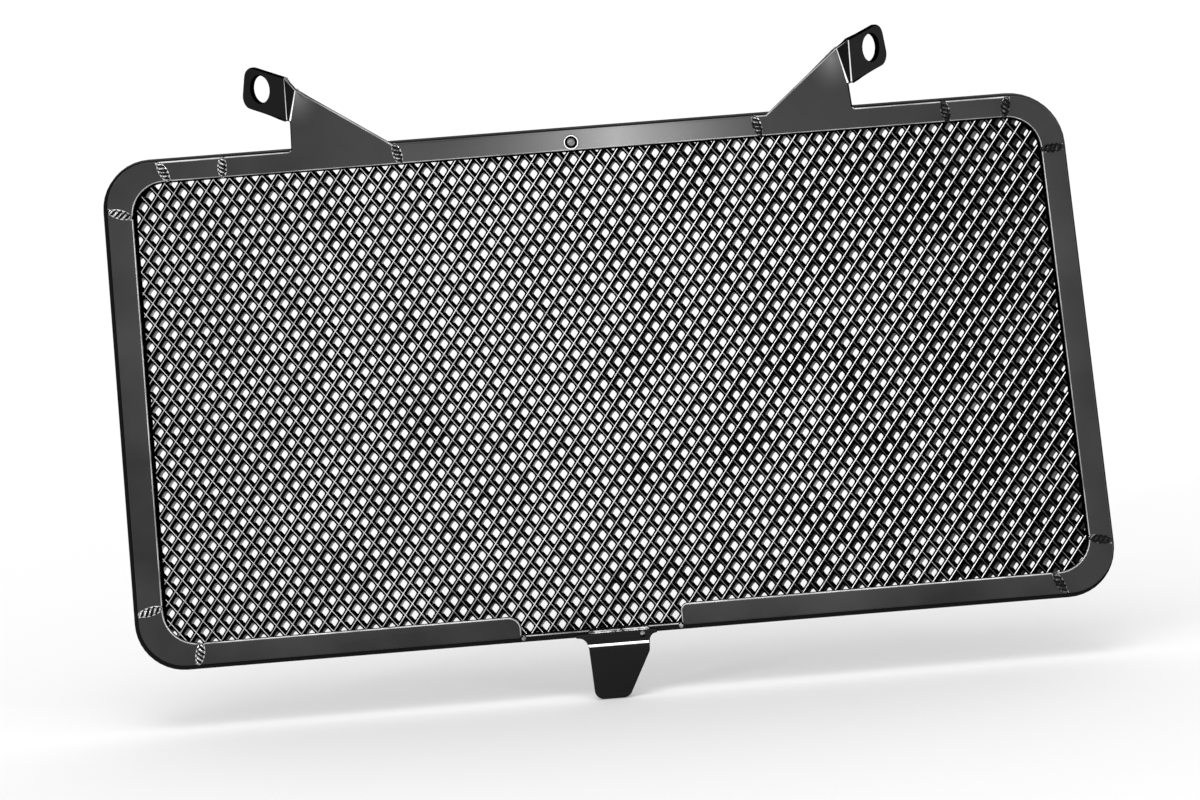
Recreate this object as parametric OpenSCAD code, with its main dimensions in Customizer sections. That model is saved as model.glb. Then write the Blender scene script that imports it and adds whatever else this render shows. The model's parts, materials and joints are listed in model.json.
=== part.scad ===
// Radiator guard for a motorcycle: a welded frame of flat plates on a closed rim,
// with an expanded metal panel, two upper brackets and a lower tongue.
// Front faces -Y, +X is the right-hand side seen from the front and +Z is up.
// The origin is the middle of the bottom rim bar, on its rear face.

/* [Frame outline] */
// Overall width of the frame along its bottom edge
frame_w_bottom = 364; // [300:1:420]
// Overall width of the frame along its top edge
frame_w_top = 352; // [290:1:420]
// Height of the frame at its left end, without brackets and tongue
frame_h = 190.8; // [160:0.1:240]
// How much lower the top edge is at the right end
top_fall = 3.2; // [0:0.1:8]
// Outer radius of the frame's corners
corner_r = 18; // [14:0.5:24]
// Outer radius of the upper right corner
corner_r_top_right = 20.5; // [14:0.5:24]

/* [Rim] */
// Width of the rim bar, seen from the front
rim_w = 2.6; // [2:0.1:3.2]
// Depth of the rim bar, from front to back
rim_d = 5; // [4:0.1:9]

/* [Front plates] */
// Thickness of the front plates
plate_t = 2; // [1.2:0.1:3]
// Width of the plates on the left side
plate_w_left = 9.3; // [7:0.1:14]
// Width of the plates on the right side
plate_w_right = 8.3; // [7:0.1:14]
// Width of the plates along the top
plate_w_top = 7.5; // [7:0.1:14]
// Width of the plates along the bottom
plate_w_bottom = 8.1; // [6:0.1:14]
// Rim left showing outside the plates on the left
show_left = 1.8; // [0:0.1:2]
// Rim left showing outside the plates on the right
show_right = 0.3; // [0:0.1:2]
// Rim left showing outside the plates at the top
show_top = 0.3; // [0:0.1:2]
// Rim left showing below the plates at the bottom
show_bottom = 2; // [0:0.1:2]
// Radius of the plates' inner corners
inner_corner_r = 12.5; // [8:0.5:16]
// Width of the welded gap between two plates
joint_gap = 1.2; // [0.8:0.1:2]

/* [Joints] */
// First joint along the top, in from the left corner
joint_top_left = 23.3; // [20:0.1:30]
// First joint along the top, in from the right corner
joint_top_right = 19.4; // [18:0.1:30]
// Length of the short plate between its joints, top left
short_plate_left = 21.8; // [12:0.1:26]
// Length of the short plate between its joints, top right
short_plate_right = 21.9; // [12:0.1:26]
// Joint beside the left bracket, in from the foot of its arm
joint_arm_left = 1.7; // [1.5:0.1:20]
// Joint beside the right bracket, in from the foot of its arm
joint_arm_right = 3.5; // [1.5:0.1:20]
// Upper joint on the left side, below the corner
joint_side_left = 18.7; // [18:0.1:40]
// Upper joint on the right side, below the corner
joint_side_right = 20.4; // [18:0.1:40]
// Lower joint on the left side, above the corner
joint_low_left = 23.4; // [20:0.1:40]
// Lower joint on the right side, above the corner
joint_low_right = 21.2; // [20:0.1:40]
// Joint along the bottom, in from the left corner
joint_bottom_left = 24; // [20:0.1:60]
// Joint along the bottom, in from the right corner
joint_bottom_right = 21.3; // [20:0.1:60]

/* [Bottom cut-out] */
// Where the left bottom strip ends, left of the middle
cutout_left = 38.6; // [25:0.1:60]
// Where the right bottom strip starts, right of the middle
cutout_right = 20.8; // [15:0.1:60]
// Radius of the left strip's upper end corner
cutout_r_left = 4.5; // [1:0.1:5]
// Radius of the right strip's upper end corner
cutout_r_right = 2.6; // [1:0.1:5]
// Radius of both strips' lower end corners
cutout_r_low = 1.6; // [0.5:0.1:2.5]

/* [Brackets] */
// Top plate left between the left arm and the short plate's joint
arm_in_left = 25.9; // [8:0.1:40]
// Top plate left between the right arm and the short plate's joint
arm_in_right = 33.6; // [8:0.1:40]
// Length of the left arm's foot along the top plate
arm_foot_left = 37; // [28:0.1:48]
// Length of the right arm's foot along the top plate
arm_foot_right = 31.7; // [26:0.1:48]
// Height of the left notch below the tab, above the plates
notch_left_h = 11.2; // [7:0.1:14]
// Height of the right notch below the tab, above the plates
notch_right_h = 9.2; // [7:0.1:14]
// Height of the first fold's upper end, above the plates
fold_top_h = 22.7; // [19:0.1:28]
// How far the first fold leans in over its height
fold_lean = 3.4; // [1:0.1:6]
// Angle of the first fold
first_fold = 14; // [8:1:30]
// Angle of the left tab's second fold
second_fold_left = 28; // [15:1:45]
// Angle of the right tab's second fold
second_fold_right = 44; // [15:1:55]
// Angle between the two fold lines
fold_spread = 15; // [8:1:22]
// Width of the sheet between the folds, at the notch
fold_root = 0.8; // [0.5:0.1:2]
// Length of the tab from its fold to its end
tab_l = 24.2; // [19:0.1:32]
// Height of the tab
tab_h = 15.6; // [14:0.1:20]
// How much the tab points upward
tab_rise = 11.5; // [0:0.5:14]
// Radius of the tab's outer corners
tab_r = 4.5; // [2:0.1:6]
// Diameter of the bolt hole in the tab
hole_d = 10; // [6:0.1:10.5]
// Distance of the bolt hole from the second fold
hole_u = 15.1; // [11:0.1:16]
// Distance of the bolt hole above the tab's lower edge
hole_v = 8.5; // [7:0.1:8.8]
// Radius in the corner between an arm and the top strip
arm_fillet = 1.5; // [0.5:0.1:3]

/* [Tongue] */
// Middle of the tongue's root, left of the middle
tongue_x = 2.8; // [-10:0.1:15]
// Width of the tongue below its flares
tongue_w = 22.8; // [16:0.1:30]
// How far the tongue hangs below the rim
tongue_drop = 22.7; // [16:0.1:34]
// Thickness of the tongue's sheet
tongue_t = 2; // [1.2:0.1:3]
// How far the tongue steps forward from its flange
tongue_step = 3; // [2:0.1:6]
// Radius of the flares beside the tongue
flare_r = 4; // [2:0.1:6]
// How far the right edge tapers in
taper_right = 9.4; // [4:0.1:12]
// How far the left edge tapers in
taper_left = 0.8; // [0:0.1:4]
// Height of the straight stretch above the right taper
taper_start = 6; // [5:0.1:9]
// Radius of the tongue's lower corners
tongue_r = 3.2; // [1:0.1:4]
// Radius of the outside of the tongue's bends
bend_r = 2.4; // [2:0.1:3]

/* [Mesh panel] */
// Thickness of the mesh sheet
mesh_t = 1.8; // [1.2:0.1:2.4]
// Distance between two gaps across the panel
gap_pitch_x = 30; // [27:0.5:40]
// Distance between two gaps up the panel
gap_pitch_z = 40; // [36:0.5:52]
// Width of the flat strand between two gaps
strand_w = 7.8; // [6:0.1:10]
// Width of the raised ridge on each strand
ridge_w = 3.8; // [2:0.1:5]
// Plain margin of the mesh sheet past the plates' inner edge, at the top
margin_top = 2.2; // [1:0.1:4]
// Plain margin past the plates' inner edge, at both sides
margin_side = 1.2; // [0.5:0.1:4]
// Plain margin of the mesh sheet above the bottom rim bar
margin_bottom = 0.6; // [0.4:0.1:2]
// Clearance between the mesh sheet and the rim
mesh_clear = 0.3; // [0.1:0.05:0.6]

/* [Rivet and welds] */
// Place of the rivet, left of the middle
rivet_x = 2.4; // [-20:0.1:20]
// Radius of the rivet's front head
rivet_r = 2.65; // [2.2:0.05:3]
// Radius of the rivet's shank
shank_r = 1.2; // [0.9:0.05:1.5]
// Height of the rivet's heads
rivet_head = 0.7; // [0.5:0.1:1.2]
// Radial clearance round the rivet's shank
rivet_clear = 0.05; // [0.02:0.01:0.1]
// Width of the weld beads
bead_w = 3; // [2.2:0.1:4]
// Height of the weld beads above the plates
bead_h = 1; // [0.6:0.1:1.2]
// Radius of the fillet weld above the tongue
fillet_r = 1.15; // [0.8:0.05:1.15]
// Radius of the tacks that hold the mesh
tack_r = 1.5; // [0.8:0.1:1.6]
// Length of the tacks that hold the mesh
tack_l = 6; // [4:0.5:10]
// Distance between the tacks along the top and the bottom
tack_spacing = 86; // [50:1:90]

/* [Hidden] */

$fn = 48;
// Degrees of arc for each straight step of a rounded outline
arc_step = 9;
// Larger than any cut through the part
big = 60;

y_rear = 0;
y_rim = y_rear - rim_d;
y_front = y_rim - plate_t;
y_mesh = y_rim + mesh_t;
// Heights in the outlines run from the frame's bottom edge
z_base = -rim_w / 2;
// The side edges lean in by this much over the frame's height
side_lean = (frame_w_bottom - frame_w_top) / 2;
side_angle = atan(side_lean / frame_h);
top_angle = atan(top_fall / frame_w_top);
bottom_inner = show_bottom + plate_w_bottom;

// Half width of the frame at height z
function half_w(z) = frame_w_bottom / 2 - side_lean * z / frame_h;

// Height of the frame's top edge at x, and of the plates' top edge
function top_z(x) = frame_h - top_fall * (x / frame_w_top + 0.5);
function plate_top(x) = top_z(x) - show_top;

// Corners of the frame's outline, moved in by l, r, t and b on its four sides
function inset(l, r, t, b) = [
    [-half_w(b) + l / cos(side_angle), b],
    [half_w(b) - r / cos(side_angle), b],
    [half_w(frame_h - top_fall - t) - r / cos(side_angle), frame_h - top_fall - t],
    [-half_w(frame_h - t) + l / cos(side_angle), frame_h - t]
];

function unit(v) = v / norm(v);
function turn(a, b) = a[0] * b[1] - a[1] * b[0];

// Points of the arc of radius r that rounds the corner b between a and c
function round_corner(a, b, c, r) =
    r == 0 ? [b] :
    let (
        d0 = unit(a - b),
        d1 = unit(c - b),
        half = acos(d0 * d1) / 2,
        centre = b + unit(d0 + d1) * r / sin(half),
        start = b + d0 * r / tan(half) - centre,
        sweep = (180 - 2 * half) * sign(turn(b - a, c - b)),
        first = atan2(start[1], start[0]),
        steps = max(2, ceil(abs(sweep) / arc_step))
    )
    [for (i = [0 : steps]) centre + r * [cos(first + sweep * i / steps), sin(first + sweep * i / steps)]];

// Outline through pts with each corner rounded by its own radius
function rounded(pts, radii) = [
    for (i = [0 : len(pts) - 1])
        each round_corner(
            pts[(i + len(pts) - 1) % len(pts)],
            pts[i],
            pts[(i + 1) % len(pts)],
            radii[i]
        )
];

function all_round(pts, r) = rounded(pts, [for (p = pts) r]);

// Rounded outline of the frame, moved in by l, r, t and b; its corner arcs shrink by cut
function frame_outline(l, r, t, b, cut) = rounded(
    inset(l, r, t, b),
    [corner_r - cut, corner_r - cut, corner_r_top_right - cut, corner_r - cut]
);

// Joints beside the arms, and the arms' edges, measured from the middle
short_end_left = frame_w_top / 2 - joint_top_left - short_plate_left;
short_end_right = frame_w_top / 2 - joint_top_right - short_plate_right;
arm_left_x = short_end_left - arm_in_left;
arm_right_x = short_end_right - arm_in_right;
foot_left_x = arm_left_x - arm_foot_left;
foot_right_x = arm_right_x - arm_foot_right;

// Places of a plate joint: across, up, and the direction in which it runs outward
function left_joint(z, a) = [-half_w(z) + show_left + plate_w_left / 2, z, a];
function right_joint(z, a) = [half_w(z) - show_right - plate_w_right / 2, z, a];
function top_joint(x, a) = [x, plate_top(x) - plate_w_top / 2, a];
function bottom_joint(x, a) = [x, show_bottom + plate_w_bottom / 2, a];

// The joints, clockwise from the left side's upper one
JOINTS = [
    left_joint(frame_h - joint_side_left, 162),
    top_joint(-frame_w_top / 2 + joint_top_left, 114),
    top_joint(-short_end_left, 86),
    top_joint(joint_arm_left - foot_left_x, 104),
    top_joint(foot_right_x - joint_arm_right, 104),
    top_joint(short_end_right, 98),
    top_joint(frame_w_top / 2 - joint_top_right, 77),
    right_joint(frame_h - top_fall - joint_side_right, 3),
    right_joint(joint_low_right, -12),
    bottom_joint(frame_w_bottom / 2 - joint_bottom_right, -65),
    bottom_joint(-frame_w_bottom / 2 + joint_bottom_left, -104),
    left_joint(joint_low_left, 192)
];

// Point of joint j, s outward along it and o anticlockwise from it
function joint_point(j, s, o) = [
    j[0] + s * cos(j[2]) - o * sin(j[2]),
    j[1] + s * sin(j[2]) + o * cos(j[2])
];

// Area of the plate between joints i and k, taken clockwise, round a corner if given
reach_in = 9;
reach_out = 12;
function plate_area(i, k, corner = []) = concat(
    [joint_point(JOINTS[i], -reach_in, -joint_gap / 2), joint_point(JOINTS[i], reach_out, -joint_gap / 2)],
    corner,
    [joint_point(JOINTS[k], reach_out, joint_gap / 2), joint_point(JOINTS[k], -reach_in, joint_gap / 2)]
);

// A flat shape stood up in the frame's plane, from y_back forward by t
module slab(y_back, t) {
    translate([0, y_back, z_base])
        rotate([90, 0, 0])
            linear_extrude(t)
                children();
}

module outline_flat() {
    polygon(frame_outline(0, 0, 0, 0, 0));
}

module rim_inside_flat(clear = 0) {
    w = rim_w + clear;
    polygon(frame_outline(w, w, w, w, w));
}

module plate_band_flat() {
    difference() {
        polygon(frame_outline(show_left, show_right, show_top, show_bottom, rim_w / 2));
        polygon(all_round(inset(
            show_left + plate_w_left,
            show_right + plate_w_right,
            show_top + plate_w_top,
            bottom_inner
        ), inner_corner_r));
    }
}

module plate(i, k, corner = []) {
    slab(y_rim, plate_t)
        intersection() {
            plate_band_flat();
            polygon(plate_area(i, k, corner));
        }
}

module rim() {
    color([0.10, 0.10, 0.11])
        slab(y_rear, rim_d)
            difference() {
                outline_flat();
                rim_inside_flat();
            }
}

plate_color = [0.22, 0.22, 0.23];

module strip_left() {
    color(plate_color) plate(11, 0);
}

module corner_top_left() {
    color(plate_color) plate(0, 1, [[-half_w(frame_h) - corner_r, frame_h + corner_r]]);
}

module strip_top_left() {
    color(plate_color) plate(1, 2);
}

module strip_top_centre() {
    color(plate_color)
        difference() {
            plate(3, 4);
            rivet_shank(rivet_clear);
        }
}

module strip_top_right() {
    color(plate_color) plate(5, 6);
}

module corner_top_right() {
    color(plate_color) plate(6, 7, [[half_w(frame_h) + corner_r, frame_h + corner_r]]);
}

module strip_right() {
    color(plate_color) plate(7, 8);
}

module corner_bottom_right() {
    color(plate_color) plate(8, 9, [[half_w(0) + corner_r, -corner_r]]);
}

module corner_bottom_left() {
    color(plate_color) plate(10, 11, [[-half_w(0) - corner_r, -corner_r]]);
}

// A bottom strip's outline, from its rounded end at x_end to past its joint at x_far
module bottom_strip_flat(x_end, x_far, r_up) {
    polygon(rounded(
        [[x_far, show_bottom], [x_end, show_bottom], [x_end, bottom_inner], [x_far, bottom_inner]],
        [0, cutout_r_low, r_up, 0]
    ));
}

module bottom_strip(x_end, x_far, r_up) {
    slab(y_rim, plate_t)
        intersection() {
            bottom_strip_flat(x_end, x_far, r_up);
            polygon(plate_area(9, 10));
        }
}

module strip_bottom_right() {
    color(plate_color) bottom_strip(cutout_right, frame_w_bottom / 2, cutout_r_right);
}

module strip_bottom_left() {
    color(plate_color) bottom_strip(-cutout_left, -frame_w_bottom / 2, cutout_r_left);
}

// Brackets. The first fold starts just inside the arm's outer edge, at the notch.
notch_in = 0.6;
second_l = tab_h / cos(tab_rise);

// Outline of an arm, drawn for the right-hand side; side is -1 for the left one
module arm_flat(side, outer_x, foot_x, notch_h) {
    base_x = outer_x + 2 * arm_fillet;
    notch = [outer_x - notch_in, plate_top(side * outer_x) + notch_h];
    polygon(rounded(
        [
            [foot_x, plate_top(side * foot_x) - plate_w_top / 2],
            [base_x, plate_top(side * base_x) - plate_w_top / 2],
            [base_x, plate_top(side * base_x)],
            [outer_x, plate_top(side * outer_x)],
            notch,
            notch + [-fold_lean, fold_top_h - notch_h],
            [foot_x, plate_top(side * foot_x)]
        ],
        [0, 0, 0, arm_fillet, 0, 0, 0]
    ));
}

// Sheet of the plates' thickness, centred on the local XZ plane
module sheet() {
    rotate([90, 0, 0])
        linear_extrude(plate_t, center = true)
            children();
}

// Round outside of a fold of length l, which runs up the local Z axis
module fold_round(l) {
    cylinder(h = l, r = plate_t / 2);
}

// Everything past the first fold, in the fold's own axes: X outward, Z up the fold
module folded_end(fold_l, second_fold) {
    second_top = [fold_root + second_l * sin(fold_spread), second_l * cos(fold_spread)];
    fold_round(fold_l);
    rotate([0, 0, first_fold]) {
        sheet()
            polygon([[0, 0], [fold_root, 0], second_top, [0, fold_l]]);
        translate([fold_root, 0, 0])
            rotate([0, fold_spread, 0]) {
                fold_round(second_l);
                rotate([0, 0, second_fold])
                    tab();
            }
    }
}

// The tab, from its fold line outward, with its bolt hole
module tab() {
    along = [cos(tab_rise), sin(tab_rise)];
    across = [-sin(tab_rise), cos(tab_rise)];
    hole = hole_u * along + hole_v * across;
    difference() {
        sheet()
            polygon(rounded(
                [[0, 0], tab_l * along, tab_l * along + tab_h * across, [0, second_l]],
                [0, tab_r, tab_r, 0]
            ));
        translate([hole[0], 0, hole[1]])
            rotate([90, 0, 0])
                cylinder(h = 2 * plate_t, r = hole_d / 2, center = true);
    }
}

// A whole arm with its tab, drawn for the right-hand side
module arm(side, outer_x, foot_x, notch_h, second_fold) {
    rise = fold_top_h - notch_h;
    slab(y_rim, plate_t)
        arm_flat(side, outer_x, foot_x, notch_h);
    translate([outer_x - notch_in, y_rim - plate_t / 2, z_base + plate_top(side * outer_x) + notch_h])
        rotate([0, -atan(fold_lean / rise), 0])
            folded_end(norm([fold_lean, rise]), second_fold);
}

module bracket_left() {
    color(plate_color)
        union() {
            plate(2, 3);
            mirror([1, 0, 0])
                arm(-1, arm_left_x, foot_left_x, notch_left_h, second_fold_left);
        }
}

module bracket_right() {
    color(plate_color)
        union() {
            plate(4, 5);
            arm(1, arm_right_x, foot_right_x, notch_right_h, second_fold_right);
        }
}

// Weld beads: each fills its gap and stands over it as a lens-shaped crown
bead_l = min(plate_w_left, plate_w_right, plate_w_top, plate_w_bottom);
bead_steps = 8;
// The crown is a round spindle, sunk so that it stands bead_h above the plates
bead_sink = (bead_w * bead_w / 4 - bead_h * bead_h) / (2 * bead_h);
bead_r = bead_sink + bead_h;

module spindle(r, l) {
    rotate_extrude()
        polygon(concat(
            [[0, -l / 2]],
            [for (i = [1 : bead_steps - 1]) let (s = 2 * i / bead_steps - 1) [r * (1 - s * s), s * l / 2]],
            [[0, l / 2]]
        ));
}

module bead_crown(j) {
    intersection() {
        translate([j[0], y_front + bead_sink, z_base + j[1]])
            rotate([0, 90 - j[2], 0])
                spindle(bead_r, bead_l * bead_r / bead_h);
        translate([j[0] - bead_l, y_front - 2 * bead_h, z_base + j[1] - bead_l])
            cube([2 * bead_l, 2 * bead_h, 2 * bead_l]);
    }
}

module bead_root(j) {
    slab(y_rim, plate_t)
        intersection() {
            plate_band_flat();
            polygon([
                joint_point(j, -reach_in, -joint_gap / 2),
                joint_point(j, reach_out, -joint_gap / 2),
                joint_point(j, reach_out, joint_gap / 2),
                joint_point(j, -reach_in, joint_gap / 2)
            ]);
        }
}

module joint_welds() {
    color([0.05, 0.05, 0.05])
        for (j = JOINTS)
            union() {
                bead_root(j);
                bead_crown(j);
            }
}

// Small tacks that close the ends of the bottom strips onto the rim
end_tack_r = 1.1;
end_tack_up = 0.4;
module end_tacks() {
    color([0.05, 0.05, 0.05])
        difference() {
            intersection() {
                for (x = [-cutout_left + end_tack_r / 2, cutout_right - end_tack_r / 2])
                    translate([x, y_rim, end_tack_up])
                        sphere(r = end_tack_r);
                translate([-big, y_rim - plate_t, z_base])
                    cube([2 * big, plate_t, rim_w]);
            }
            strip_bottom_left();
            strip_bottom_right();
        }
}

// Rivet through the top strip and the mesh sheet behind it
rivet_edge = 0.85;
rivet_z = top_z(-rivet_x) - rim_w - rivet_edge - shank_r;
module at_rivet(y) {
    translate([-rivet_x, y, z_base + rivet_z])
        rotate([90, 0, 0])
            children();
}

module rivet_shank(clear = 0) {
    at_rivet(y_mesh)
        cylinder(h = y_mesh - y_front, r = shank_r + clear);
}

module centre_rivet() {
    groove = 0.35;
    rear_lip = 0.7;
    color([0.08, 0.08, 0.09])
        union() {
            rivet_shank();
            at_rivet(y_mesh + rivet_head)
                cylinder(h = rivet_head, r = shank_r + rear_lip);
            at_rivet(y_front)
                difference() {
                    cylinder(h = rivet_head, r = rivet_r);
                    translate([0, 0, rivet_head - groove])
                        difference() {
                            cylinder(h = rivet_head, r = rivet_r - groove);
                            translate([0, 0, -groove])
                                cylinder(h = 2 * rivet_head, r = shank_r);
                        }
                }
        }
}

// Mesh panel: one wall with diamond gaps, and a raised ridge along each strand
module diamond(w, h) {
    polygon([[-w / 2, 0], [0, -h / 2], [w / 2, 0], [0, h / 2]]);
}

mesh_left = show_left + plate_w_left + margin_side;
mesh_right = show_right + plate_w_right + margin_side;
mesh_top = show_top + plate_w_top + margin_top;
mesh_bottom = rim_w + margin_bottom;
gap_columns = floor((frame_w_bottom - mesh_left - mesh_right) / gap_pitch_x) + 2;
gap_rows = floor((frame_h - mesh_top - mesh_bottom) / gap_pitch_z) + 1;

// The gaps left by strands of width w, cut off at the plain margin
module gaps_flat(w) {
    slope = atan(gap_pitch_z / gap_pitch_x);
    shrink = 1 - w / (gap_pitch_x * sin(slope));
    intersection() {
        polygon(all_round(inset(mesh_left, mesh_right, mesh_top, mesh_bottom), inner_corner_r - margin_side));
        for (row = [0 : 2 * gap_rows], column = [0 : gap_columns])
            translate([
                (column - gap_columns / 2 + (row % 2) / 2) * gap_pitch_x,
                mesh_bottom + (row * gap_pitch_z) / 2
            ])
                diamond(gap_pitch_x * shrink, gap_pitch_z * shrink);
    }
}

module mesh_panel() {
    color([0.06, 0.06, 0.06])
        difference() {
            union() {
                slab(y_mesh, mesh_t / 2)
                    difference() {
                        rim_inside_flat(mesh_clear);
                        gaps_flat(strand_w);
                    }
                slab(y_mesh - mesh_t / 2, mesh_t / 2)
                    difference() {
                        rim_inside_flat(mesh_clear);
                        gaps_flat(ridge_w);
                    }
            }
            rivet_shank(rivet_clear);
        }
}

// Tacks in the corner between the rim's inside and the mesh sheet's back
module tack_bar(x, z, angle) {
    translate([x, y_mesh, z_base + z])
        rotate([0, 90 - angle, 0])
            cylinder(h = tack_l, r = tack_r, center = true);
}

module mesh_tacks() {
    side_x = half_w(frame_h / 2) - rim_w / cos(side_angle);
    color([0.05, 0.05, 0.05])
        intersection() {
            slab(y_mesh + tack_r, tack_r)
                rim_inside_flat();
            union() {
                for (x = tack_spacing * [-1.5, -0.5, 0.5, 1.5]) {
                    tack_bar(x, top_z(x) - rim_w / cos(top_angle), -top_angle);
                    tack_bar(x, rim_w, 0);
                }
                tack_bar(-side_x, frame_h / 2, 90 - side_angle);
                tack_bar(side_x, frame_h / 2, 90 + side_angle);
            }
        }
}

// Tongue: a flange on the rim's lower half, a step forward and a tapered tongue
flange_top = rim_w - fillet_r - 0.05;
step_rise = 2.5;
step_start = -0.4;
flange_side = 2.8;
flange_lip = 0.5;

module tongue_front_flat() {
    left = -tongue_x - tongue_w / 2;
    right = -tongue_x + tongue_w / 2;
    polygon(rounded(
        [
            [left - flare_r - flange_lip, flange_top],
            [left - flare_r - flange_lip, 0],
            [left, 0],
            [left + taper_left, -tongue_drop],
            [right - taper_right, -tongue_drop],
            [right - taper_left / 2, -taper_start],
            [right, 0],
            [right + flange_side, 0],
            [right + flange_side, flange_top]
        ],
        [0, 0, flare_r, tongue_r, tongue_r, tongue_r / 2, 0.65 * flare_r, 0, 0]
    ));
}

// The folded sheet seen from the side: forward is +X here and up is +Y
module tongue_side_flat() {
    inner_r = bend_r - 1.6;
    polygon(rounded(
        [
            [0, flange_top],
            [0, step_start - tongue_t / 2],
            [tongue_step, step_start - step_rise - tongue_t / 2],
            [tongue_step, -tongue_drop],
            [tongue_step + tongue_t, -tongue_drop],
            [tongue_step + tongue_t, step_start - step_rise],
            [tongue_t, step_start],
            [tongue_t, flange_top]
        ],
        [0, bend_r, inner_r, 0, 0, bend_r, inner_r, 0]
    ));
}

module tongue() {
    color([0.13, 0.13, 0.13])
        intersection() {
            slab(y_rim, tongue_step + tongue_t)
                tongue_front_flat();
            translate([big, y_rim, z_base])
                rotate([90, 0, -90])
                    linear_extrude(2 * big)
                        tongue_side_flat();
        }
}

// Fillet weld along the flange's upper edge, with a blob at its right-hand end
module tongue_welds() {
    bead_left = -tongue_x - tongue_w / 2 + 1;
    bead_right = -tongue_x + tongue_w / 2 - 1;
    blob_r = 1.2;
    color([0.05, 0.05, 0.05])
        union() {
            intersection() {
                union() {
                    translate([bead_left, y_rim, z_base + flange_top])
                        rotate([0, 90, 0])
                            cylinder(h = bead_right - bead_left, r = fillet_r);
                    for (x = [bead_left, bead_right])
                        translate([x, y_rim, z_base + flange_top])
                            sphere(r = fillet_r);
                }
                translate([-big, y_rim - big, z_base + flange_top])
                    cube([2 * big, big, rim_w - flange_top]);
            }
            difference() {
                intersection() {
                    translate([bead_right - 1.4 * blob_r, y_rim - tongue_t, z_base + flange_top - blob_r])
                        sphere(r = blob_r);
                    translate([-big, y_rim - tongue_t - big, -big])
                        cube([2 * big, big, 2 * big]);
                }
                tongue();
            }
        }
}

rim();
mesh_panel();
mesh_tacks();
strip_left();
corner_top_left();
strip_top_left();
bracket_left();
strip_top_centre();
bracket_right();
strip_top_right();
corner_top_right();
strip_right();
corner_bottom_right();
strip_bottom_right();
strip_bottom_left();
corner_bottom_left();
joint_welds();
end_tacks();
centre_rivet();
tongue();
tongue_welds();
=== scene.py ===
import json
import math

import bmesh
import bpy
from mathutils import Matrix, Vector


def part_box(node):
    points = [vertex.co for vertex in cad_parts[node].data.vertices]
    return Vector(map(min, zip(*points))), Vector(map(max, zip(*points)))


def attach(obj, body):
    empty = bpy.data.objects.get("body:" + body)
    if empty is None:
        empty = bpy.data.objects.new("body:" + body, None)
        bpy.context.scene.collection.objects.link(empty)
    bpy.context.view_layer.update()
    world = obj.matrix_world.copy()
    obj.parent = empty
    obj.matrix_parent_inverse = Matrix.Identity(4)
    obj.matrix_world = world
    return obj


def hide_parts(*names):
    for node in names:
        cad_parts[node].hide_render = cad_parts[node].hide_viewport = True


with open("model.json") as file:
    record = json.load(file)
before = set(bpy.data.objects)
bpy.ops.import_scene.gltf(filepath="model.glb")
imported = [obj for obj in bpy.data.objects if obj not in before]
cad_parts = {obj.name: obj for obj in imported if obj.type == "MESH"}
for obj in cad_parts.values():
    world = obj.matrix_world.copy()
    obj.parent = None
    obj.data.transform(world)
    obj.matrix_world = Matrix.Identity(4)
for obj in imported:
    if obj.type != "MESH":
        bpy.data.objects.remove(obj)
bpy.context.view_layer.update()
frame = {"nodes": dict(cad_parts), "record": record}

# Camera: a long lens slightly above and to the right of the guard's middle, turned
# a little about its own axis, as the guard hangs in the photograph.
camera_data = bpy.data.cameras.new("camera")
camera_data.lens = 300
camera_data.sensor_width = 36
camera_data.clip_start = 0.1
camera_data.clip_end = 60
camera = bpy.data.objects.new("camera", camera_data)
bpy.context.scene.collection.objects.link(camera)
bpy.context.scene.camera = camera
azimuth, elevation, camera_roll = math.radians(4.871), math.radians(10), math.radians(-5.671)
camera_distance = 3.66669
target = Vector((-0.0012, -0.007, 0.08709))
back = Vector((
    math.sin(azimuth) * math.cos(elevation),
    -math.cos(azimuth) * math.cos(elevation),
    math.sin(elevation),
))
level = (-back).cross(Vector((0, 0, 1))).normalized()
upright = level.cross(-back)
right = level * math.cos(camera_roll) + upright * math.sin(camera_roll)
up = upright * math.cos(camera_roll) - level * math.sin(camera_roll)
camera_turn = Matrix((right, up, back)).transposed().to_4x4()
camera.matrix_world = Matrix.Translation(target + back * camera_distance) @ camera_turn
bpy.context.scene.view_settings.view_transform = "Standard"

# Studio: a pale floor that the tongue's tip stands over, a white surround, one broad
# sun in front and high up whose shadow falls close behind the guard, two small far
# lamps for glints along ridges and edges, and one soft lamp low in front.
floor_gap, floor_reach = 0.0002, 12
floor_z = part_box("tongue")[0].z - floor_gap
bm = bmesh.new()
bmesh.ops.create_grid(bm, x_segments=1, y_segments=1, size=floor_reach)
bmesh.ops.translate(bm, vec=(0, 0, floor_z), verts=bm.verts)
floor_mesh = bpy.data.meshes.new("floor")
bm.to_mesh(floor_mesh)
bm.free()
floor = bpy.data.objects.new("floor", floor_mesh)
bpy.context.scene.collection.objects.link(floor)
paper = bpy.data.materials.new("paper")
paper.use_nodes = True
paper_shader = paper.node_tree.nodes["Principled BSDF"]
paper_white = 0.85
paper_shader.inputs["Base Color"].default_value = (paper_white, paper_white, paper_white, 1)
paper_shader.inputs["Roughness"].default_value = 1.0
paper_shader.inputs["Specular IOR Level"].default_value = 0.0
floor_mesh.materials.append(paper)

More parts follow.
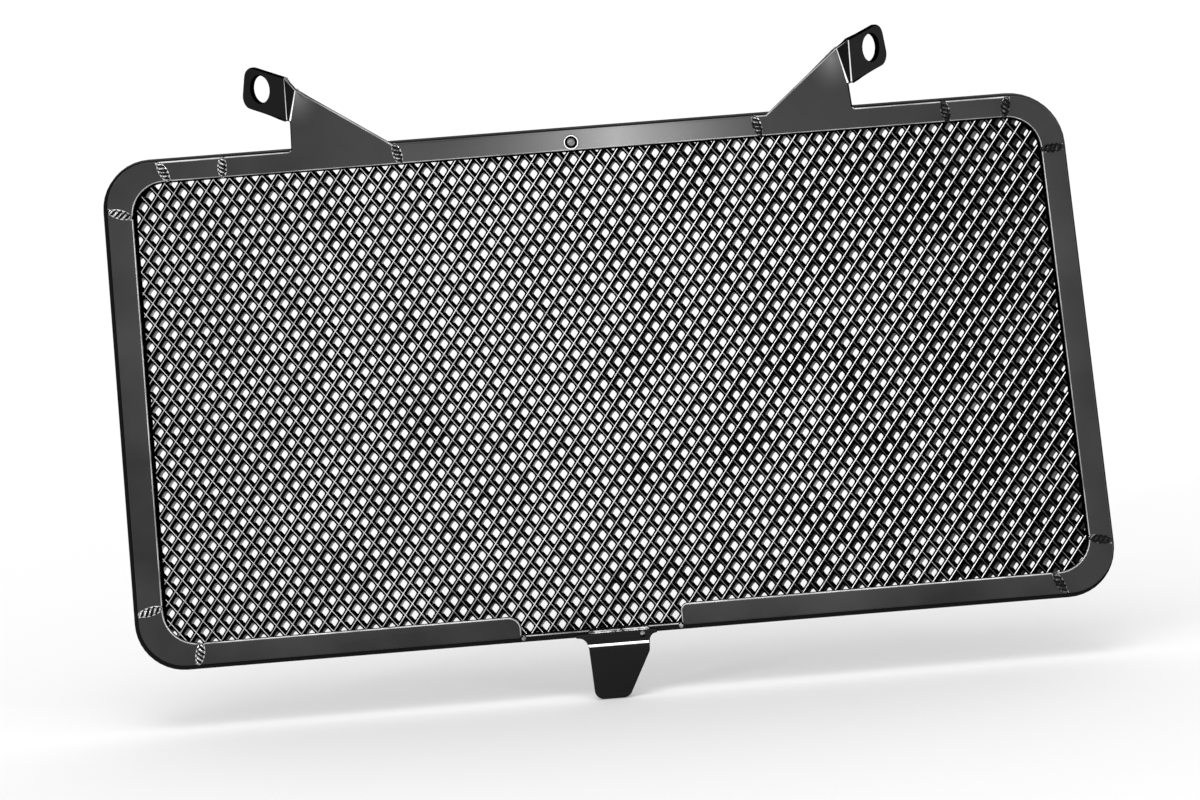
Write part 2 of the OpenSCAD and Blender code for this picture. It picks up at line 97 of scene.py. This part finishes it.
# The surround is plain white where it is seen or mirrored, and a shade darker as light
surround_seen, surround_light = 1.0, 0.98
surround = bpy.data.worlds.new("surround")
bpy.context.scene.world = surround
surround.use_nodes = True
nodes, links = surround.node_tree.nodes, surround.node_tree.links
sky = nodes["Background"]
sky.inputs["Color"].default_value = (1, 1, 1, 1)
sky_path = nodes.new("ShaderNodeLightPath")
sky_seen = nodes.new("ShaderNodeMath")
sky_seen.operation = "MAXIMUM"
sky_clear = nodes.new("ShaderNodeMath")
sky_clear.operation = "MAXIMUM"
sky_strength = nodes.new("ShaderNodeMapRange")
sky_strength.inputs["To Min"].default_value = surround_light
sky_strength.inputs["To Max"].default_value = surround_seen
links.new(sky_path.outputs["Is Camera Ray"], sky_seen.inputs[0])
links.new(sky_path.outputs["Is Glossy Ray"], sky_seen.inputs[1])
links.new(sky_seen.outputs[0], sky_clear.inputs[0])
links.new(sky_path.outputs["Is Transmission Ray"], sky_clear.inputs[1])
links.new(sky_clear.outputs[0], sky_strength.inputs["Value"])
links.new(sky_strength.outputs[0], sky.inputs["Strength"])

for lamp_name, towards, strength, width in (
    ("key_lamp", (0.0, -0.36, 0.933), 0.6, 30),
    ("glint_left", (-0.72, -0.62, 0.31), 0.3, 6),
    ("glint_right", (0.66, -0.7, 0.28), 0.22, 6),
):
    lamp_data = bpy.data.lights.new(lamp_name, "SUN")
    lamp_data.energy = strength
    lamp_data.angle = math.radians(width)
    lamp = bpy.data.objects.new(lamp_name, lamp_data)
    bpy.context.scene.collection.objects.link(lamp)
    lamp.rotation_euler = Vector(towards).to_track_quat("Z", "Y").to_euler()
sheen_data = bpy.data.lights.new("sheen_lamp", "AREA")
sheen_data.shape = "RECTANGLE"
sheen_data.size = 0.16
sheen_data.size_y = 0.03
sheen_data.energy = 0.9
sheen_lamp = bpy.data.objects.new("sheen_lamp", sheen_data)
bpy.context.scene.collection.objects.link(sheen_lamp)
sheen_lamp.visible_camera = False
sheen_lamp.location = (-0.075, -1.1, -0.004)
sheen_lamp.rotation_euler = (math.radians(80), 0, math.radians(-4.9))

# Mesh panel: one steel sheet slit and stretched into diamonds 6 mm across and 8 mm high,
# coated black. Each strand has a narrow ridge with a painted highlight line and ends in a lip
# at the back, painted light grey as shading and turned further out towards the panel's sides.
# A plain border is left for the tacks to the rim.
mm = 0.001
patch_dark_end, patch_light_end = 0.32, 0.72
gloss_low_end, gloss_high_end = 0.3, 0.7
coolness = 1.02
speck_scale, speck_strength = 2400, 0.25


def coat(name, dark, light, gloss, grain, patch, specular, drift=0.0, metallic=0.0):
    """Powder coat: dark to light in slow patches and along X by drift, which paints light and
    shade that change across the guard; gloss as roughness, grain as bump depth. A metallic
    coat is a bright painted highlight along ridges and edges."""
    made = bpy.data.materials.new(name)
    made.use_nodes = True
    nodes, links = made.node_tree.nodes, made.node_tree.links
    shader = nodes["Principled BSDF"]
    shader.inputs["Specular IOR Level"].default_value = specular
    shader.inputs["Metallic"].default_value = metallic
    place = nodes.new("ShaderNodeTexCoord")
    cloud = nodes.new("ShaderNodeTexNoise")
    cloud.inputs["Scale"].default_value = patch
    cloud.inputs["Detail"].default_value = 4
    tone = nodes.new("ShaderNodeValToRGB")
    tone.color_ramp.elements[0].position = patch_dark_end
    tone.color_ramp.elements[0].color = (dark, dark, dark * coolness, 1)
    tone.color_ramp.elements[1].position = patch_light_end
    tone.color_ramp.elements[1].color = (light, light, light * coolness, 1)
    rough = nodes.new("ShaderNodeMapRange")
    rough.inputs["From Min"].default_value = gloss_low_end
    rough.inputs["From Max"].default_value = gloss_high_end
    rough.inputs["To Min"].default_value = gloss[0]
    rough.inputs["To Max"].default_value = gloss[1]
    specks = nodes.new("ShaderNodeTexNoise")
    specks.inputs["Scale"].default_value = speck_scale
    specks.inputs["Detail"].default_value = 2
    bump = nodes.new("ShaderNodeBump")
    bump.inputs["Strength"].default_value = speck_strength
    bump.inputs["Distance"].default_value = grain
    links.new(place.outputs["Object"], cloud.inputs["Vector"])
    links.new(place.outputs["Object"], specks.inputs["Vector"])
    axes = nodes.new("ShaderNodeSeparateXYZ")
    along = nodes.new("ShaderNodeMath")
    along.operation = "MULTIPLY_ADD"
    along.inputs[1].default_value = drift
    links.new(place.outputs["Object"], axes.inputs[0])
    links.new(axes.outputs["X"], along.inputs[0])
    links.new(cloud.outputs["Fac"], along.inputs[2])
    links.new(along.outputs[0], tone.inputs["Fac"])
    links.new(tone.outputs["Color"], shader.inputs["Base Color"])
    links.new(cloud.outputs["Fac"], rough.inputs["Value"])
    links.new(rough.outputs[0], shader.inputs["Roughness"])
    links.new(specks.outputs["Fac"], bump.inputs["Height"])
    links.new(bump.outputs["Normal"], shader.inputs["Normal"])
    return made


strand_coat = coat(
    "strand_coat", dark=0.0004, light=0.0012, gloss=(0.3, 0.42),
    grain=0.00003, patch=110, specular=0.0,
)
# Bright metallic finishes that paint highlight lines on the strands: along one way lighter to
# the right, across it lighter to the left
ridge_highlight_coat = coat(
    "ridge_highlight_coat", dark=0.4, light=0.95, gloss=(0.2, 0.34),
    grain=0.00002, patch=70, specular=0.5, drift=1.2, metallic=1.0,
)
cross_highlight_coat = coat(
    "cross_highlight_coat", dark=0.05, light=0.45, gloss=(0.2, 0.34),
    grain=0.00002, patch=70, specular=0.5, drift=-1.2, metallic=1.0,
)
# Light grey painted on the lips' slopes stands for the shading in the openings
lip_shading_coat = coat(
    "lip_shading_coat", dark=0.12, light=0.98, gloss=(0.35, 0.5),
    grain=0.00003, patch=75, specular=0.0, drift=-0.8,
)
# Painted shading: the lips are light grey, lighter towards the back and darker to the right
lip_dark_y, lip_light_y, lip_dark = -0.0043, -0.0036, 0.001
nodes, links = lip_shading_coat.node_tree.nodes, lip_shading_coat.node_tree.links
lip_depth = nodes.new("ShaderNodeMapRange")
lip_depth.inputs["From Min"].default_value = lip_dark_y
lip_depth.inputs["From Max"].default_value = lip_light_y
lip_painted_tone = nodes.new("ShaderNodeMix")
lip_painted_tone.data_type = "RGBA"
lip_painted_tone.inputs["A"].default_value = (lip_dark, lip_dark, lip_dark, 1)
links.new(nodes["Separate XYZ"].outputs["Y"], lip_depth.inputs["Value"])
links.new(lip_depth.outputs[0], lip_painted_tone.inputs["Factor"])
links.new(nodes["Color Ramp"].outputs["Color"], lip_painted_tone.inputs["B"])
links.new(lip_painted_tone.outputs["Result"], nodes["Principled BSDF"].inputs["Base Color"])

back_coat = coat(
    "back_coat", dark=0.006, light=0.02, gloss=(0.3, 0.42),
    grain=0.00006, patch=30, specular=0.4,
)

# The sheet's diamonds and faces, and the frame's outline: half its width at the bottom
# and the top, its lowest and highest line, and how far its top falls to the right
pitch_x, pitch_z = 0.006, 0.008
sheet_front, sheet_back = -0.005, -0.0032
half_low, half_high = 0.182, 0.176
frame_low, frame_high, frame_fall = -0.0013, 0.1895, 0.0032
# How far the border's outside, its opening and the strands' ends lie inside that outline,
# at the left, right, top and bottom
border_outside, outside_radius = (0.0029, 0.0029, 0.0029, 0.0029), 0.0151
border_opening, opening_radius = (0.0123, 0.0098, 0.0086, 0.0032), 0.0113
strand_ends = (0.0117, 0.0092, 0.0080, 0.0030)


def inset_corners(left, right_side, top, bottom):
    """Corners of the frame's outline, moved in by these widths, from the lower left round."""
    low = frame_low + bottom
    high_right, high_left = frame_high - frame_fall - top, frame_high - top
    half = [
        half_low - (half_low - half_high) * (z - frame_low) / (frame_high - frame_low)
        for z in (low, low, high_right, high_left)
    ]
    return [
        Vector((-half[0] + left, sheet_front, low)),
        Vector((half[1] - right_side, sheet_front, low)),
        Vector((half[2] - right_side, sheet_front, high_right)),
        Vector((-half[3] + left, sheet_front, high_left)),
    ]


def guard_piece(piece_name, bm, finishes, node_name):
    """The finished shape as a piece of the guard, standing for that node."""
    mesh = bpy.data.meshes.new(piece_name)
    bm.to_mesh(mesh)
    bm.free()
    for finish in finishes:
        mesh.materials.append(finish)
    piece = bpy.data.objects.new(piece_name, mesh)
    bpy.context.scene.collection.objects.link(piece)
    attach(piece, "root")
    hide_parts(node_name)
    return piece


bm = bmesh.new()
for inset, radius in ((border_outside, outside_radius), (border_opening, opening_radius)):
    ring = [bm.verts.new(c) for c in inset_corners(*inset)]
    bm.faces.new(ring)
    bmesh.ops.bevel(
        bm, geom=ring, offset=radius, offset_type="OFFSET", segments=10,
        profile=0.5, affect="VERTICES", material=-1,
    )
bmesh.ops.delete(bm, geom=list(bm.faces), context="FACES_ONLY")
bmesh.ops.bridge_loops(bm, edges=list(bm.edges))
grown = bmesh.ops.extrude_face_region(bm, geom=list(bm.faces))
bmesh.ops.translate(
    bm, vec=(0, sheet_back - sheet_front, 0),
    verts=[g for g in grown["geom"] if isinstance(g, bmesh.types.BMVert)],
)
bmesh.ops.recalc_face_normals(bm, faces=bm.faces)
border_finishes = (strand_coat, back_coat)
for face in bm.faces:
    finish = back_coat if face.normal.y > 0.5 else strand_coat
    face.material_index = border_finishes.index(finish)
guard_piece("mesh_border", bm, border_finishes, "mesh_panel")

# One cell: rings from the strands' middle in to the opening, then to the back. Each has
# its share of the cell, its depth in mm, its rounding in mm at the tall and wide corners,
# and its share of the lips' lean to the lower right.
lean_x, lean_z = 0.0008, -0.0006
cell_rings = (
    (1.0, 0.0, 0.005, 0.005, 0.0),
    (0.94, 0.02, 0.2, 0.08, 0.0),
    (0.90, 0.09, 0.3, 0.12, 0.0),
    (0.70, 0.3, 0.95, 0.38, 0.0),
    (0.54, 1.5, 0.85, 0.4, 0.85),
    (1.0, 1.79, 0.005, 0.005, 0.0),
)
cell = bmesh.new()
for share, depth, tall_round, wide_round, lean in cell_rings:
    ring = [
        cell.verts.new((
            x * pitch_x / 2 * share + lean * lean_x,
            sheet_front + depth * mm,
            z * pitch_z / 2 * share + lean * lean_z,
        ))
        for x, z in ((-1, 0), (0, -1), (1, 0), (0, 1))
    ]
    cell.faces.new(ring)
    for pair, rounding in ((ring[1::2], tall_round), (ring[0::2], wide_round)):
        bmesh.ops.bevel(
            cell, geom=pair, offset=rounding * mm, offset_type="OFFSET",
            segments=2, profile=0.5, affect="VERTICES", material=-1,
        )
bmesh.ops.delete(cell, geom=list(cell.faces), context="FACES_ONLY")
bmesh.ops.bridge_loops(cell, edges=list(cell.edges))
bmesh.ops.recalc_face_normals(cell, faces=cell.faces)
# The ridges along one way of the strands and the fainter ones across it carry painted
# highlight lines, the slopes at the upper left of each opening painted shading, and the back
# a finish of its own
mesh_finishes = (strand_coat, ridge_highlight_coat, lip_shading_coat, cross_highlight_coat, back_coat)
ridge_depth, cross_depth, back_depth = 0.00003, 0.0001, 0.00155
lip_front, lip_rear, lip_right, lip_low = 0.0005, 0.0012, 0.0009, -0.0008
for face in cell.faces:
    face.smooth = True
    middle = face.calc_center_median()
    deep = middle.y - sheet_front
    finish = strand_coat
    if deep < ridge_depth and middle.x * middle.z < 0:
        finish = ridge_highlight_coat
    elif deep < cross_depth and middle.x < 0 and middle.z < 0:
        finish = cross_highlight_coat
    elif lip_front < deep < lip_rear and middle.z > lip_low and middle.x < lip_right:
        finish = lip_shading_coat
    elif deep > back_depth:
        finish = back_coat
    face.material_index = mesh_finishes.index(finish)
cell_mesh = bpy.data.meshes.new("cell")
cell.to_mesh(cell_mesh)
cell.free()

# The strands are twisted further towards both sides of the panel, and the right-hand ones
# most, which moves the rear edges of their lips
calm_x, twist_reach, twist_left, twist_right = -0.03, 0.19, 0.95, 1.25
lip_edge_front, lip_edge_rear = 0.0012, 0.0017
rows, first_row_z = 24, -0.0035
merge_distance, cut_tolerance = 2e-5, 1e-7
clip_corners = inset_corners(*strand_ends)
clip_middle = sum(clip_corners, Vector()) / 4
for part_name, first_column, last_column in (
    ("mesh_left", -30, -11), ("mesh_middle", -10, 9), ("mesh_right", 10, 30),
):
    pair = bmesh.new()
    for column in range(first_column, last_column + 1):
        for x, z in ((column * pitch_x, 0), ((column + 0.5) * pitch_x, pitch_z / 2)):
            start = len(pair.verts)
            pair.from_mesh(cell_mesh)
            pair.verts.ensure_lookup_table()
            bmesh.ops.translate(pair, vec=(x, 0, z), verts=pair.verts[start:])
            twist = twist_right if x > calm_x else twist_left
            more = twist * min(1, abs(x - calm_x) / twist_reach) ** 2
            lips = [
                v for v in pair.verts[start:]
                if lip_edge_front < v.co.y - sheet_front < lip_edge_rear
            ]
            bmesh.ops.translate(pair, vec=(more * lean_x, 0, more * lean_z), verts=lips)
    pair_mesh = bpy.data.meshes.new("pair_of_rows")
    pair.to_mesh(pair_mesh)
    pair.free()
    bm = bmesh.new()
    for row in range(rows):
        start = len(bm.verts)
        bm.from_mesh(pair_mesh)
        bm.verts.ensure_lookup_table()
        row_z = row * pitch_z + first_row_z
        bmesh.ops.translate(bm, vec=(0, 0, row_z), verts=bm.verts[start:])
    for a, b in zip(clip_corners, clip_corners[1:] + clip_corners[:1]):
        outward = (b - a).cross(Vector((0, -1, 0))).normalized()
        if outward.dot(a - clip_middle) < 0:
            outward.negate()
        bmesh.ops.bisect_plane(
            bm, geom=list(bm.verts) + list(bm.edges) + list(bm.faces),
            dist=cut_tolerance, plane_co=a, plane_no=outward, clear_outer=True,
        )
    bmesh.ops.remove_doubles(bm, verts=bm.verts, dist=merge_distance)
    bmesh.ops.recalc_face_normals(bm, faces=bm.faces)
    guard_piece(part_name, bm, mesh_finishes, "mesh_panel")

# Rim: one steel bar bent into a closed ring behind the plates, its long edges broken,
# dull black in front. Its rear is coated like the other backs, and its front edge carries
# a painted highlight line in the gap between the bottom strips.
rim_coat = coat(
    "rim_coat", dark=0.0022, light=0.0045, gloss=(0.6, 0.75),
    grain=0.00008, patch=60, specular=0.1,
)
flat_angle, sharp_angle = math.radians(0.6), math.radians(58)
copy_merge, cut_side, edge_side = 2e-6, 0.25, 0.15


def eased_copy(node_name, edge, steps, finishes, plain_side=None):
    """The solid's shape with its sharp edges rounded, standing for that node. The first
    finish is its own, the second is for its edges, but not towards plain_side, and the
    third is for the cut sides of the sheet."""
    own, eased, cut = range(3)
    bm = bmesh.new()
    bm.from_mesh(frame["nodes"][node_name].data)
    bmesh.ops.remove_doubles(bm, verts=bm.verts, dist=copy_merge)
    bmesh.ops.dissolve_limit(
        bm, angle_limit=flat_angle, verts=bm.verts, edges=bm.edges, delimit=set()
    )
    sharp = [e for e in bm.edges if e.is_manifold and e.calc_face_angle() > sharp_angle]
    made = bmesh.ops.bevel(
        bm, geom=sharp, offset=edge, offset_type="OFFSET", segments=steps,
        profile=0.5, affect="EDGES", material=-1, clamp_overlap=False,
    )
    bmesh.ops.recalc_face_normals(bm, faces=bm.faces)
    if bm.calc_volume(signed=True) < 0:
        bmesh.ops.reverse_faces(bm, faces=bm.faces)
    for face in bm.faces:
        face.smooth = True
    if len(finishes) > 2:
        for face in bm.faces:
            if abs(face.normal.y) < cut_side:
                face.material_index = cut
    if len(finishes) > 1:
        for face in made["faces"]:
            face.material_index = own
            if plain_side is None or face.normal.dot(plain_side) < edge_side:
                face.material_index = eased
    piece = guard_piece(node_name + "_eased", bm, finishes, node_name)
    even = piece.modifiers.new("even_normals", "WEIGHTED_NORMAL")
    even.keep_sharp = True
    return piece


rim_edge, rim_slant, bottom_bar_top = 0.0005, 0.3, 0.0015
rim = eased_copy("rim", rim_edge, steps=2, finishes=(rim_coat,))
rim_back, rim_highlight_line = 1, 2
for finish in (back_coat, cross_highlight_coat):
    rim.data.materials.append(finish)
for face in rim.data.polygons:
    if face.normal.y > rim_slant:
        face.material_index = rim_back
    elif face.normal.y < -rim_slant and face.normal.z > rim_slant:
        if face.center.z < bottom_bar_top:
            face.material_index = rim_highlight_line

# Front plates: eleven flat steel strips and corner pieces, laser cut, welded side by side
# onto the rim and coated satin black. Painted highlight lines, a bright metallic finish,
# run along their edges but not along most of the guard's outline, and a painted sheen
# lies round the rivet.
plate_coat = coat(
    "plate_coat", dark=0.0006, light=0.03, gloss=(0.24, 0.34),
    grain=0.00005, patch=20, specular=0.3,
)
# Painted highlight lines: a bright metallic finish on the bevelled edges
edge_highlight_coat = coat(
    "edge_highlight_coat", dark=0.22, light=0.62, gloss=(0.2, 0.32),
    grain=0.00003, patch=90, specular=0.5, metallic=1.0,
)


def painted_sheen_coat(name, middle, reach, light, specular):
    """Plate coat with a painted sheen, lighter round its middle, as far as its reach."""
    made = coat(
        name, dark=0.0006, light=0.03, gloss=(0.25, 0.35),
        grain=0.00005, patch=20, specular=specular,
    )
    nodes, links = made.node_tree.nodes, made.node_tree.links
    sheen_place = nodes.new("ShaderNodeMapping")
    sheen_place.vector_type = "TEXTURE"
    sheen_place.inputs["Location"].default_value = middle
    sheen_place.inputs["Scale"].default_value = reach
    sheen_spot = nodes.new("ShaderNodeTexGradient")
    sheen_spot.gradient_type = "QUADRATIC_SPHERE"
    sheen_tone = nodes.new("ShaderNodeMix")
    sheen_tone.data_type = "RGBA"
    sheen_tone.inputs["B"].default_value = (light, light, light, 1)
    links.new(nodes["Texture Coordinate"].outputs["Object"], sheen_place.inputs["Vector"])
    links.new(sheen_place.outputs["Vector"], sheen_spot.inputs["Vector"])
    links.new(sheen_spot.outputs["Fac"], sheen_tone.inputs["Factor"])
    links.new(nodes["Color Ramp"].outputs["Color"], sheen_tone.inputs["A"])
    links.new(sheen_tone.outputs["Result"], nodes["Principled BSDF"].inputs["Base Color"])
    return made


# A painted sheen on the long top strip round the rivet
sheen_middle, sheen_reach = (0.014, -0.007, 0.18), (0.066, 0.2, 0.2)
centre_sheen_coat = painted_sheen_coat("centre_sheen_coat", sheen_middle, sheen_reach, light=0.32, specular=0.37)
plate_edge = 0.00048
for plate_name, outside in (
    ("strip_left", (-1, 0, 0)), ("corner_top_left", (-0.7, 0, 0.7)),
    ("strip_top_left", None), ("strip_top_centre", (0, 0, 1)), ("strip_top_right", None),
    ("corner_top_right", (0.7, 0, 0.7)), ("strip_right", (1, 0, 0)),
    ("corner_bottom_right", (0.7, 0, -0.7)), ("strip_bottom_right", (0, 0, -1)),
    ("strip_bottom_left", (0, 0, -1)), ("corner_bottom_left", (-0.7, 0, -0.7)),
):
    finish = centre_sheen_coat if plate_name == "strip_top_centre" else plate_coat
    eased_copy(
        plate_name, plate_edge, steps=2, finishes=(finish, edge_highlight_coat, rim_coat),
        plain_side=Vector(outside) if outside else None,
    )

# Brackets: each is one sheet, a top plate with a triangular arm that is folded twice
# into a tab with a bolt hole. The tabs are a darker, less glossy copy of the coat and the
# hole walls and inner edges plain black, both painted shade; the outsides of the folds
# carry painted highlight lines, and the arm a painted sheen beside them.
tab_shaded_coat = coat(
    "tab_shaded_coat", dark=0.001, light=0.003, gloss=(0.3, 0.4),
    grain=0.00006, patch=50, specular=0.08,
)
# Bright metallic finish that paints highlight lines along the folds and bends
fold_highlight_coat = coat(
    "fold_highlight_coat", dark=0.8, light=0.98, gloss=(0.16, 0.24),
    grain=0.00002, patch=160, specular=0.5, metallic=1.0,
)
bracket_edge, fold_across, fold_down, front_y = 0.0004, 0.0135, 0.001, -0.007
fold_sheen_reach = (0.01, 0.02, 0.014)
hole_wall, hole_facing = 0.0062, 0.98
tab_half, arm_top, tab_low = 0.0098, 0.19, 0.196
# How far a face looks to the side tells the arm, the two folds and the tab apart
arm_turn, first_end, second_start, tab_slack = 0.004, 0.238, 0.25, 0.02
web_turn, web_area = 0.12, 1.2e-5
# The bracket's finishes by number, after the arm's own
edge, dark, fold, tab = range(1, 5)
for bracket_name in ("bracket_left", "bracket_right"):
    mount = next(
        m for m in frame["record"]["mounts"]
        if m["name"] == bracket_name.replace("bracket", "tab_hole")
    )
    hole, hole_axis = Vector(mount["pos_m"]), Vector(mount["axis"])
    tab_turn = abs(hole_axis.x)
    fold_top = (hole.x - math.copysign(fold_across, hole.x), front_y, hole.z - fold_down)
    # A painted sheen on the arm beside the top of its fold
    arm_sheen_coat = painted_sheen_coat(
        bracket_name + "_coat", fold_top, fold_sheen_reach, light=0.14, specular=0.22
    )
    bracket = eased_copy(
        bracket_name, bracket_edge, steps=2,
        finishes=(arm_sheen_coat, edge_highlight_coat, strand_coat, fold_highlight_coat, tab_shaded_coat),
    )
    for face in bracket.data.polygons:
        turned = abs(face.normal.x)
        inner = face.normal.x * math.copysign(1, hole.x) > 0.3
        on_first = arm_turn < turned < first_end
        on_second = second_start < turned < tab_turn - tab_slack
        # Tab faces get the darker shaded copy; hole walls and inner edges the mesh's plain
        # black, painted shade
        if abs(face.normal.dot(hole_axis)) > hole_facing:
            face.material_index = tab
        elif (face.center - hole).length < hole_wall:
            face.material_index = dark
        elif face.material_index == edge:
            if inner or abs(face.center.x - hole.x) < tab_half and face.center.z > arm_top:
                face.material_index = dark
        elif face.center.z < tab_low or face.material_index == dark:
            continue
        elif turned > web_turn and face.area > web_area:
            face.material_index = tab
        elif face.normal.y < -0.3 and (on_first or on_second):
            face.material_index = fold

# Tongue: one sheet bent forward under the rim and tapered to its tip, in a darker copy
# of the plates' coat that paints shade, with a painted highlight line along the outside of
# its bend.
tongue_shaded_coat = coat(
    "tongue_shaded_coat", dark=0.001, light=0.003, gloss=(0.3, 0.4),
    grain=0.00006, patch=50, specular=0.13,
)
tongue_edge, bend_end, bend_start, flange_low = 0.00035, 0.42, 0.86, -0.0035
tongue = eased_copy(
    "tongue", tongue_edge, steps=2, finishes=(tongue_shaded_coat,)
)
bend_highlight_line = 1
tongue.data.materials.append(fold_highlight_coat)
for face in tongue.data.polygons:
    on_bend = face.normal.y < -0.25 and bend_end < face.normal.z < bend_start
    if on_bend and face.center.z < flange_low:
        face.material_index = bend_highlight_line

# Joint beads: twelve short fillets, one in each gap between two plates, laid in a few
# ripples. They are glossy black, with painted highlights: a bright metallic finish on
# their crests and on the low toe that runs round each.
bead_coat = coat(
    "bead_coat", dark=0.0005, light=0.003, gloss=(0.1, 0.22),
    grain=0.00025, patch=520, specular=0.1,
)
crest_highlight_coat = coat(
    "crest_highlight_coat", dark=0.03, light=0.7, gloss=(0.12, 0.24),
    grain=0.00012, patch=260, specular=0.5, drift=-1.2, metallic=1.0,
)
top_line, bead_y = 0.18675, -0.0069
toe_half_width, toe_height, toe_longer = 0.00185, 0.0004, 0.0002
bead_half_width, bead_height = 0.0015, 0.0015
ripple_turns, ripple_height, crest_skew, crest_share, crest_front = 15, 0.2, 3, 0.6, -0.35
bead_finishes = (bead_coat, crest_highlight_coat)
bright = bead_finishes.index(crest_highlight_coat)
# Each bead's place, its turn in degrees and its length. Those along the top lie on the
# top plates' middle line, which falls to the right.
bm = bmesh.new()
for x, z, turn, length in (
    (-0.1701, 0.1721, 162, 0.0086), (-0.1527, None, 114, 0.0078), (-0.1309, None, 86, 0.0074),
    (-0.0663, None, 104, 0.0078), (0.0659, None, 104, 0.0078), (0.1347, None, 98, 0.0076),
    (0.1566, None, 77, 0.0076), (0.17229, 0.1672, 3, 0.0084), (0.17688, 0.0212, -12, 0.0086),
    (0.1607, 0.00605, -65, 0.0084), (-0.158, 0.00605, -104, 0.0082),
    (-0.17481, 0.0234, 192, 0.0092),
):
    if z is None:
        z = top_line - frame_fall * (x / (2 * half_high) + 0.5)
    toe = bmesh.ops.create_uvsphere(bm, u_segments=16, v_segments=10, radius=1)
    toe_size = (toe_half_width, toe_height, length / 2 + toe_longer)
    bmesh.ops.scale(bm, vec=toe_size, verts=toe["verts"])
    for face in {f for v in toe["verts"] for f in v.link_faces}:
        face.material_index = bright
    made = bmesh.ops.create_uvsphere(bm, u_segments=16, v_segments=40, radius=1)
    for face in {f for v in made["verts"] for f in v.link_faces}:
        middle = face.calc_center_median()
        crest = math.cos(middle.z * ripple_turns + middle.x * crest_skew)
        if crest > crest_share and middle.y < crest_front:
            face.material_index = bright
    for vert in made["verts"]:
        ripple = 1 + ripple_height * math.cos(vert.co.z * ripple_turns)
        vert.co.x *= bead_half_width * ripple
        vert.co.y *= bead_height * ripple
        vert.co.z *= length / 2
    made = made["verts"] + toe["verts"]
    bmesh.ops.rotate(
        bm, cent=(0, 0, 0), verts=made,
        matrix=Matrix.Rotation(math.radians(90 - turn), 3, "Y"),
    )
    bmesh.ops.translate(bm, vec=(x, bead_y, z + frame_low), verts=made)
for face in bm.faces:
    face.smooth = True
guard_piece("joint_beads", bm, bead_finishes, "joint_welds")

# Small tacks at the bottom strips' ends and the weld over the tongue with its blob:
# plain beads in front, with bright metallic patches that paint glints. The tacks that hold
# the mesh at the back are coated like the other backs.
fillet_glint_coat = coat(
    "fillet_glint_coat", dark=0.004, light=0.5, gloss=(0.12, 0.26),
    grain=0.0002, patch=380, specular=0.4, metallic=1.0,
)
for node_name, finish in (
    ("end_tacks", fillet_glint_coat), ("tongue_welds", fillet_glint_coat), ("mesh_tacks", back_coat),
):
    solid = frame["nodes"][node_name]
    solid.data.materials.clear()
    solid.data.materials.append(finish)

# Rivet: a round steel head in the long top strip, with a painted highlight on its rim,
# a ring groove painted plain black as shade, and a low button in its middle, which is
# a lighter grey than the coat.
rivet_coat = coat(
    "rivet_coat", dark=0.02, light=0.3, gloss=(0.3, 0.4),
    grain=0.0001, patch=700, specular=0.5,
)
rivet_edge, groove_outer, groove_inner = 0.00006, 0.00226, 0.00125
rivet = eased_copy(
    "centre_rivet", rivet_edge, steps=1, finishes=(rivet_coat,)
)
plain, groove, bright_ring = range(3)
for finish in (strand_coat, edge_highlight_coat):
    rivet.data.materials.append(finish)
rivet_low, rivet_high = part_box("centre_rivet")
rivet_middle = (rivet_low + rivet_high) / 2
for face in rivet.data.polygons:
    points = [rivet.data.vertices[i].co for i in face.vertices]
    reaches = [math.hypot(p.x - rivet_middle.x, p.z - rivet_middle.z) for p in points]
    out = sum(reaches) / len(reaches)
    face.material_index = bright_ring if out > groove_outer else groove
    if face.normal.y > 0.5 or out < groove_inner and face.normal.y < -0.5:
        face.material_index = plain
button_radius, button_height, button_sunk = 0.00145, 0.00034, 0.00036
bm = bmesh.new()
bmesh.ops.create_uvsphere(bm, u_segments=24, v_segments=12, radius=1)
bmesh.ops.scale(bm, vec=(button_radius, button_height, button_radius), verts=bm.verts)
for face in bm.faces:
    face.smooth = True
button_place = (rivet_middle.x, rivet_low.y + button_sunk, rivet_middle.z)
bmesh.ops.translate(bm, vec=button_place, verts=bm.verts)
guard_piece("rivet_button", bm, (rivet_coat,), "centre_rivet")
